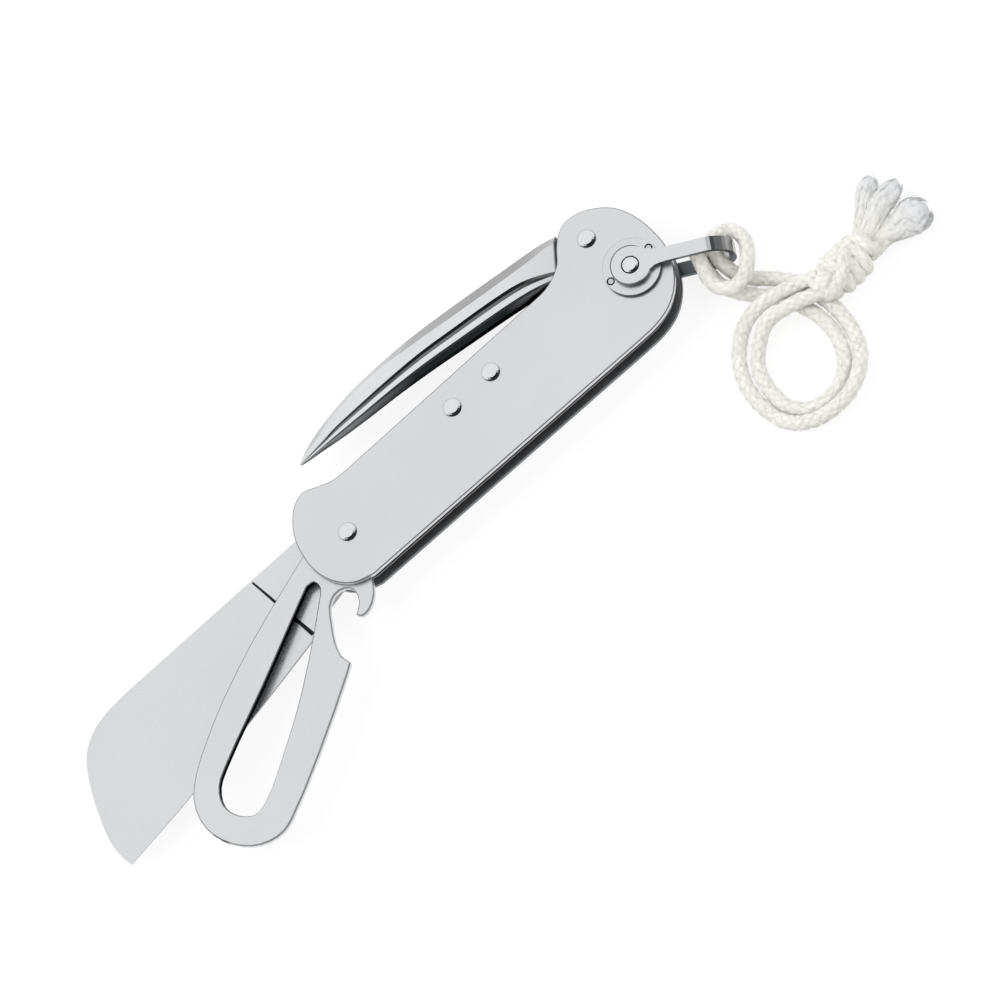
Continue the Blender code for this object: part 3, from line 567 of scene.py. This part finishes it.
def tuft(name, node, route, widths, finish):
    """Yarns that come unlaid into a soft flat lock, and the loose fibres over its surface and its end."""
    shape = Shape()
    line = smooth_line(route, TUFT_STEP)
    sides, ups = frames_along(line)
    spots = np.arange(len(line))
    half = np.interp(np.linspace(0, 1, len(line)), np.linspace(0, 1, len(widths)), widths)

    def pick(at, values):
        return np.stack([np.interp(at, spots, values[:, k]) for k in range(3)], 1)

    def across_at(t, turn, share):
        """Points of the lock at fractions of its length, turns round it and shares of its half width."""
        at = np.clip(t, 0, 1) * (len(line) - 1)
        wide = np.interp(at, spots, half) * share
        over = np.maximum(t - 1, 0)[:, None] * (line[-1] - line[0])
        aside = pick(at, sides) * (wide * np.cos(turn))[:, None]
        upward = pick(at, ups) * (TUFT_FLAT * wide * np.sin(turn))[:, None]
        return pick(at, line) + over - aside + upward

    rows = np.linspace(0, 1, TUFT_ROWS)
    steps = np.arange(TUFT_STEPS) / TUFT_STEPS
    ripple = TUFT_RIPPLE * uneven(TUFT_ROWS, TUFT_STEPS, TUFT_WAVE_PATCH)
    folds = TUFT_LOBES * steps[None, :] + TUFT_TWIST * rows[:, None] + ripple
    lobes = np.abs(np.sin(np.pi * folds)) ** 0.7
    fine = uneven(TUFT_ROWS, TUFT_STEPS, TUFT_FINE_PATCH)
    swell = TUFT_LEAST + TUFT_LOBE * lobes + TUFT_FINE * fine
    swell = swell + TUFT_WAVE * uneven(TUFT_ROWS, TUFT_STEPS, TUFT_WAVE_PATCH)
    close = rounding(rows, TUFT_CLOSES_AT, power=3, least=0.01)
    rings = np.zeros((TUFT_ROWS, TUFT_STEPS, 3))
    for j, step in enumerate(steps):
        turn = 2 * np.pi * step
        reach = rows * TUFT_SOLID * (1 - TUFT_SIDES_SHORTER * math.cos(turn) ** 2)
        rings[:, j] = across_at(reach, np.full(TUFT_ROWS, turn), swell[:, j] * close)
    rings[..., 2] = np.maximum(rings[..., 2], TUFT_LOWEST)
    shape.tube(rings, np.repeat(rows[:, None], TUFT_STEPS, axis=1), lobes)

    def fibre(first, last, turn, share, wave, radius):
        """One thin wavy fibre that follows the lock and narrows to its end."""
        t = np.linspace(first, last, TUFT_FIBRE_STEPS)
        sway = wave * np.sin(random.uniform(*TUFT_FIBRE_WAVES) * t + random.uniform(0, 6.3))
        rounded = rounding(t, FIBRES_CLOSE_AT, power=2.5, least=0.02)
        path = across_at(t, turn + TUFT_FIBRE_TWIST * t + sway, share * (1 + 0.5 * sway) * rounded)
        path[:, 2] = np.maximum(path[:, 2], radius + 0.05)
        side_at, up_at = frames_along(path)
        ring = 2 * np.pi * np.arange(TUFT_FIBRE_SIDES) / TUFT_FIBRE_SIDES
        out = side_at[:, None] * np.cos(ring)[None, :, None] + up_at[:, None] * np.sin(ring)[None, :, None]
        slim = radius * np.linspace(1, TUFT_FIBRE_TIP, TUFT_FIBRE_STEPS)
        rings = path[:, None] + out * slim[:, None, None]
        shape.tube(rings, np.repeat(t[:, None], TUFT_FIBRE_SIDES, axis=1), np.full(rings.shape[:2], 0.8))

    for _ in range(round(TUFT_FIBRES * max(widths))):
        turn = random.uniform(0, 2 * math.pi)
        share = TUFT_FIBRE_OUT * random.uniform(0.45, 1) ** 0.4
        start = random.uniform(*TUFT_FIBRE_START)
        end = TUFT_FIBRE_END - TUFT_FIBRE_SIDES_SHORTER * math.cos(turn) ** 2
        end = end + random.uniform(*TUFT_FIBRE_UNEVEN)
        fibre(start, end, turn, share, TUFT_FIBRE_WAVE, random.uniform(*TUFT_FIBRE_R))
    for _ in range(TUFT_STRAYS):
        start = random.uniform(*TUFT_STRAY_START)
        end = start + random.uniform(*TUFT_STRAY_LENGTH)
        fibre(start, end, random.uniform(0, 6.3), TUFT_STRAY_OUT, TUFT_STRAY_WAVE, TUFT_STRAY_R)
    piece = shape.piece(name, finish)
    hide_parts(node)
    return piece


def make_lanyard():
    cotton = cord_material()
    fibres = tuft_material()
    ends = [knot(cotton)]
    for node, (route, widths) in TUFTS.items():
        ends.append(tuft(node.replace("tuft", "frayed_end"), node, route, widths, fibres))
    strand("lanyard_braid_1", "lanyard_strand_1", STRAND_1, 0.0, cotton)
    strand("lanyard_braid_2", "lanyard_strand_2", STRAND_2, 2.2, cotton)


make_lanyard()


# ---------------------------------------------------------------- steel

# Scales of the brushing: drawn out along X, drawn out along Y, and even
ALONG_X = (0.05, 1, 1)
ALONG_Y = (1, 0.06, 1)
EVEN = (1, 1, 1)

STEEL_TINT = (0.99, 1.0, 1.02)
# Painted shade darker than TINTED_BELOW takes this cooler tint
SHADE_TINT = (0.84, 1.0, 1.06)
TINTED_BELOW = 0.3

# Places that the painted shade and painted reflections are measured from
GRIND_LINE = ((-66.5, 8.6), (-63.8, -10.8))
KEY_SLOT_MIDDLE = (-83.0, -19.7, 8.0)
KEY_OUTWARD = (0.508, -0.861, 0)
BAIL_AHEAD = (0.866, -0.5, 0)
SPIKE_SEAM = ((32.2, 14.2, 8.0), (36.6, 20.2, 8.0))

# Greys of the painted shade and painted reflections on the edges, walls and gaps, which are darker than the
# steel's faces
SHADE = {
    "front_plate_underside": 0.06,
    "front_plate_bevel": 0.24,
    "back_plate_wall": 0.17,
    "back_plate_bevel": 0.10,
    "disc_wall": 0.05,
    "disc_bevel": 0.10,
    "stake_wall": 0.10,
    "blade_wall": 0.30,
    "grind_shadow_line": 0.02,
    "key_slot": 0.03,
    "key_rim": 0.07,
    "key_bevel": 0.20,
    "spike_bevel": 0.45,
    "spike_belly": 0.02,
    "spike_root": 0.50,
    "spike_seam": 0.04,
    "pin_crescent": 0.05,
    "bail_side": 0.06,
    "bail_bend": 0.05,
    "bail_bend_front": 0.42,
    "bail_back_leg": 0.10,
    "bail_eye_rim": 0.12,
}


def steel(name, grey, roughness, grain=2.4, brush=ALONG_X, streak=0.25, depth=0.003):
    """Bare steel with fine grain, faint brushing and slow changes of tone and gloss."""
    n = Nodes(name)
    slow = n.noise(0.03, 3)
    fine = n.noise(grain, 4, roughness=0.7)
    lines = n.noise(1.6, 2, brush)
    mixed = n.total((fine, 1 - streak), (lines, streak))
    tone = n.total((slow, 0.4), (mixed, 0.6))
    low, high = [tuple(grey * k * c for c in STEEL_TINT) for k in (0.965, 1.035)]
    n.set(Metallic=1.0, Base_Color=n.ramp(tone, [(0.35, low), (0.65, high)]))
    n.set(Roughness=n.between(mixed, 0.3, 0.7, roughness * 0.88, roughness * 1.12))
    n.bump(mixed, depth)
    return n


def shade_where(n, factor, part):
    """Paints shade into a steel: darkens it to a part's grey where the factor is 1; the darkest painted shade
    is a little cooler.
    """
    grey = SHADE[part]
    colour = n.shader.inputs["Base Color"].links[0].from_socket
    tinted = max(0.0, 1 - grey / TINTED_BELOW)
    n.set(Base_Color=n.mix(factor, colour, (*(grey * (1 + tinted * (c - 1)) for c in SHADE_TINT), 1)))


def near(n, axis, spot, width):
    """1 on the surface near a coordinate, in millimetres of the row frame, and 0 away from it."""
    away = n.math("ABSOLUTE", n.math("SUBTRACT", n.axis(axis), spot * MM))
    return n.between(away, width * MM * 0.8, width * MM, 1.0, 0.0)


def run_from(n, origin, direction):
    """How far along a direction the surface is from an origin, in metres."""
    offset = n.add("ShaderNodeVectorMath", {0: n.place, 1: origin}, operation="SUBTRACT").outputs[0]
    return n.add("ShaderNodeVectorMath", {0: offset, 1: direction}, operation="DOT_PRODUCT").outputs["Value"]


def uprightness(n):
    """How far a face looks up or down: 1 on a flat face, 0 on a wall."""
    normal = n.add("ShaderNodeNewGeometry").outputs["True Normal"]
    return n.math("ABSOLUTE", n.add("ShaderNodeSeparateXYZ", {0: normal}).outputs["Z"])


def walls(n):
    """1 on the cut edges of sheet steel, without their bevels."""
    return n.between(uprightness(n), 0.45, 0.25, 0.0, 1.0)


def bevels(n):
    """1 on the broken edges only."""
    up = uprightness(n)
    return n.math("MULTIPLY", n.between(up, 0.93, 0.85, 0.0, 1.0), n.between(up, 0.3, 0.5, 0.0, 1.0))


def leaning(n, low, high):
    """1 where the piece's own surface leans to its +Y by more than high, and 0 below low."""
    normal = n.add("ShaderNodeTexCoord").outputs["Normal"]
    return n.between(n.add("ShaderNodeSeparateXYZ", {0: normal}).outputs["Y"], low, high, 0.0, 1.0)


def inverse(n, value):
    return n.math("SUBTRACT", 1.0, value)


def both(n, *values):
    """The product of the values: 1 only where all of them are."""
    product = values[0]
    for value in values[1:]:
        product = n.math("MULTIPLY", product, value)
    return product


def dress(finish, *names):
    for name in names:
        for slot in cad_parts[name].material_slots:
            slot.material = finish


def make_plates():
    front = steel("front_plate_satin", 0.70, 0.30, depth=0.002)
    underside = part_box("front_plate")[0].z / MM
    # Painted shade: a dark band along the front plate's underside edge and grey bevels; dark walls and bevels
    # on the back plate
    shade_where(front, near(front, "Z", underside, 0.12), "front_plate_underside")
    shade_where(front, bevels(front), "front_plate_bevel")
    dress(front.material, "front_plate")
    back = steel("back_plate_satin", 0.66, 0.32)
    shade_where(back, walls(back), "back_plate_wall")
    shade_where(back, bevels(back), "back_plate_bevel")
    dress(back.material, "back_plate")


def make_discs():
    disc = steel("disc_satin", 0.69, 0.28)
    # Painted shade: dark walls and bevels on the discs' open side, and dark walls round the stakes
    open_side = inverse(disc, leaning(disc, -0.2, 0.1))
    shade_where(disc, both(disc, walls(disc), open_side), "disc_wall")
    shade_where(disc, both(disc, bevels(disc), open_side), "disc_bevel")
    dress(disc.material, "front_bail_disc", "back_bail_disc")
    stake = steel("stake_steel", 0.60, 0.3, depth=0.03)
    shade_where(stake, walls(stake), "stake_wall")
    dress(stake.material, *(f"{side}_disc_stake_{i}" for side in ("front", "back") for i in (1, 2)))


def grind_shadow_line(blade):
    """1 on the line across the blade where its grind begins, which widens towards the edge: the place of a
    painted shadow line.
    """
    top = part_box("sheepsfoot_blade")[1].z / MM
    start, end = (place((*spot, 0)) for spot in GRIND_LINE)
    length = (end - start).length
    along = (end - start).normalized()
    off = blade.math("ABSOLUTE", run_from(blade, start, (-along.y, along.x, 0)))
    run = run_from(blade, start, tuple(along))
    half = blade.between(run, 0.0, length, 0.2 * MM, 0.48 * MM)
    return both(
        blade,
        blade.between(off, half, blade.math("ADD", half, 0.06 * MM), 1.0, 0.0),
        blade.between(run, 0.0, 0.2 * MM, 0.0, 1.0),
        blade.between(run, length, length + 0.1 * MM, 1.0, 0.0),
        blade.between(blade.axis("Z"), (top - 1.0) * MM, (top - 0.9) * MM, 0.0, 1.0),
    )


def make_blade():
    blade = steel("blade_satin", 0.70, 0.28, grain=3.2, brush=ALONG_Y, depth=0.0015)
    # Painted shade: grey on the blade's walls and a dark shadow line where the grind begins
    shade_where(blade, walls(blade), "blade_wall")
    shade_where(blade, grind_shadow_line(blade), "grind_shadow_line")
    dress(blade.material, "sheepsfoot_blade")


def make_key():
    """The key's steel, with painted shade: black walls in its slot on the side towards the blade, and a dark
    rim outside.
    """
    key = steel("key_satin", 0.70, 0.29, grain=3.2, depth=0.0015)
    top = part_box("shackle_key")[1].z / MM
    across = run_from(key, place(KEY_SLOT_MIDDLE), KEY_OUTWARD)
    outer = key.between(across, 0.5 * MM, 1.5 * MM, 0.0, 1.0)
    inner = inverse(key, outer)
    rim = key.between(key.axis("Z"), (top - 0.75) * MM, (top - 0.55) * MM, 0.0, 1.0)
    # Painted shade: the slot's walls near black with their edge reflection dimmed, a dark outer rim and
    # darker bevels
    slot = both(key, walls(key), inner)
    shade_where(key, slot, "key_slot")
    key.set(Specular_Tint=key.mix(slot, (1, 1, 1, 1), (0.2, 0.2, 0.2, 1)))
    shade_where(key, both(key, walls(key), outer, rim), "key_rim")
    shade_where(key, both(key, bevels(key), key.between(inner, 0.0, 1.0, 0.5, 1.0)), "key_bevel")
    dress(key.material, "shackle_key")


def make_spike():
    """The spike's steel, with painted reflections and shade: a grey bevel and a dark belly that fade to the
    tip, a darker root and a dark line at the handle.
    """
    spike = steel("spike_polished", 0.74, 0.17, grain=3.0, streak=0.6, depth=0.0015)
    low, high = (place(spot) for spot in SPIKE_SEAM)
    along = (high - low).normalized()
    from_seam = run_from(spike, low, (along.y, -along.x, 0))
    # Painted reflections: a grey bevel band and a near-black belly; painted shade: a darker root and a dark
    # line at the plate's edge
    bevel_fade = spike.between(from_seam, -62 * MM, -20 * MM, 0.25, 1.0)
    shade_where(spike, both(spike, leaning(spike, 0.2, 0.35), bevel_fade), "spike_bevel")
    belly_fade = spike.between(from_seam, -72 * MM, -35 * MM, 0.45, 1.0)
    shade_where(spike, both(spike, inverse(spike, leaning(spike, -0.42, -0.12)), belly_fade), "spike_belly")
    shade_where(spike, spike.between(from_seam, -13 * MM, 0.0, 0.0, 0.35), "spike_root")
    before = spike.between(from_seam, -1.0 * MM, -0.5 * MM, 0.0, 1.0)
    after = spike.between(from_seam, 0.4 * MM, 0.9 * MM, 1.0, 0.0)
    shade_where(spike, both(spike, before, after), "spike_seam")
    dress(spike.material, "marlinspike")


def make_fittings():
    # The springs and the liner are dark grey steel; their darkness is also painted shade for the well between
    # the plates
    inner = steel("spring_steel_dark", 0.16, 0.42)
    dress(inner.material, "blade_spring", "key_spring")
    liner = steel("liner_dark", 0.30, 0.40)
    dress(liner.material, "centre_liner")
    pins = steel("pin_polished", 0.76, 0.13, grain=4.0, brush=EVEN, depth=0.006)
    # Painted reflection: a dark crescent on the side of each dome that leans to -Y
    shade_where(pins, inverse(pins, leaning(pins, -0.42, -0.32)), "pin_crescent")
    dress(pins.material, "blade_pivot_pin", "spike_pivot_pin", "spring_pin_lower", "spring_pin_upper")
    dress(pins.material, "bail_cam_shaft")


def make_bail():
    """The bail's steel, with painted shade and painted reflections: dark sides, a bend that is dark where it
    turns, and a dark rim round the eye.
    """
    bail = steel("bail_polished", 0.70, 0.24)
    normal = bail.add("ShaderNodeTexCoord").outputs["Normal"]
    facing = bail.add("ShaderNodeVectorMath", {0: normal, 1: BAIL_AHEAD}, operation="DOT_PRODUCT")
    turned = facing.outputs["Value"]
    # Painted shade and reflections: dark walls, a dark turn of the bend with a lighter front, the back leg's
    # inner face darkened, a dark eye rim
    shade_where(bail, both(bail, walls(bail), bail.between(turned, 0.2, 0.4, 1.0, 0.0)), "bail_side")
    shade_where(bail, bail.between(turned, 0.2, 0.3, 0.0, 1.0), "bail_bend")
    shade_where(bail, bail.between(turned, 0.35, 0.95, 0.0, 1.0), "bail_bend_front")
    shade_where(bail, near(bail, "Z", 1.2, 0.3), "bail_back_leg")
    centre = place((*BAIL_PIVOT, 0))
    flat = bail.add("ShaderNodeVectorMath", {0: bail.place, 1: (1, 1, 0)}, operation="MULTIPLY").outputs[0]
    reach = bail.add("ShaderNodeVectorMath", {0: flat, 1: centre}, operation="DISTANCE").outputs["Value"]
    rim = bail.between(reach, (EYE_R - 0.32) * MM, (EYE_R - 0.16) * MM, 0.0, 1.0)
    behind = bail.between(run_from(bail, centre, BAIL_AHEAD), 1.5 * MM, 3.0 * MM, 1.0, 0.0)
    shade_where(bail, both(bail, rim, behind), "bail_eye_rim")
    dress(bail.material, "bail")


make_plates()
make_discs()
make_blade()
make_key()
make_spike()
make_fittings()
make_bail()


# ---------------------------------------------------------------- stage

# In metres, as the frame is
FLOOR_SIZE = 3.0
FLOOR_DROP = 0.0002
FLOOR_GREY = 0.17
FLOOR_GLOW = 0.83


def make_floor():
    mesh = bpy.data.meshes.new("floor")
    half = FLOOR_SIZE / 2
    z = -FLOOR_DROP
    corners = [(-half, -half, z), (half, -half, z), (half, half, z), (-half, half, z)]
    mesh.from_pydata(corners, [], [(0, 1, 2, 3)])
    floor = bpy.data.objects.new("floor", mesh)
    bpy.context.scene.collection.objects.link(floor)
    n = Nodes("pale_floor")
    n.set(Base_Color=(FLOOR_GREY,) * 3 + (1,), Roughness=0.9)
    n.set(Emission_Color=(1, 1, 1, 1), Emission_Strength=FLOOR_GLOW)
    n.shader.inputs["Specular IOR Level"].default_value = 0.0
    mesh.materials.append(n.material)


# The room's grey at angles from straight up, round the X axis: positive ones on the handle's open side, -Y
ROOM = [
    (-90, 0.85), (-50, 1.0), (13, 1.0), (17, 0.12), (29, 0.12), (34, 1.0), (50, 1.0), (60, 0.55), (90, 0.45),
]


def make_world():
    """A bright room with one dark strip on the handle's open side, which shows in the polished steel.

    The camera itself sees plain white.
    """
    world = bpy.data.worlds.new("studio")
    world.use_nodes = True
    bpy.context.scene.world = world
    tree = world.node_tree
    add = tree.nodes.new
    link = tree.links.new
    split = add("ShaderNodeSeparateXYZ")
    link(add("ShaderNodeTexCoord").outputs["Generated"], split.inputs[0])
    flip = add("ShaderNodeMath")
    flip.operation = "MULTIPLY"
    flip.inputs[1].default_value = -1
    link(split.outputs["Y"], flip.inputs[0])
    angle = add("ShaderNodeMath")
    angle.operation = "ARCTAN2"
    link(flip.outputs[0], angle.inputs[0])
    link(split.outputs["Z"], angle.inputs[1])
    share = add("ShaderNodeMapRange")
    share.inputs["From Min"].default_value = -math.pi
    share.inputs["From Max"].default_value = math.pi
    link(angle.outputs[0], share.inputs["Value"])
    ramp = add("ShaderNodeValToRGB")
    elements = ramp.color_ramp.elements
    while len(elements) < len(ROOM):
        elements.new(1.0)
    for element, (degrees, grey) in zip(elements, ROOM):
        element.position = (degrees + 180) / 360
        element.color = (grey, grey, grey, 1)
    link(share.outputs[0], ramp.inputs[0])
    seen = add("ShaderNodeMix")
    seen.data_type = "RGBA"
    link(add("ShaderNodeLightPath").outputs["Is Camera Ray"], seen.inputs["Factor"])
    link(ramp.outputs[0], seen.inputs["A"])
    seen.inputs["B"].default_value = (1, 1, 1, 1)
    background = tree.nodes["Background"]
    link(seen.outputs["Result"], background.inputs["Color"])


# Each softbox's place in metres and its power in watts
SOFTBOXES = {"softbox_left": ((-0.7, 0.5, 0.9), 7.5), "softbox_right": ((0.8, -0.5, 0.9), 5.0)}
SOFTBOX_SIZE = 0.9


def soft_light(name, spot, power):
    """A square softbox that shines at the knife and doesn't show in the steel."""
    data = bpy.data.lights.new(name, "AREA")
    data.size = SOFTBOX_SIZE
    data.energy = power
    light = bpy.data.objects.new(name, data)
    light.location = spot
    light.rotation_euler = (-Vector(spot)).to_track_quat("-Z", "Y").to_euler()
    light.visible_glossy = False
    bpy.context.scene.collection.objects.link(light)


make_floor()
make_world()
for light_name, (light_spot, light_power) in SOFTBOXES.items():
    soft_light(light_name, light_spot, light_power)
bpy.context.scene.view_settings.view_transform = "Standard"
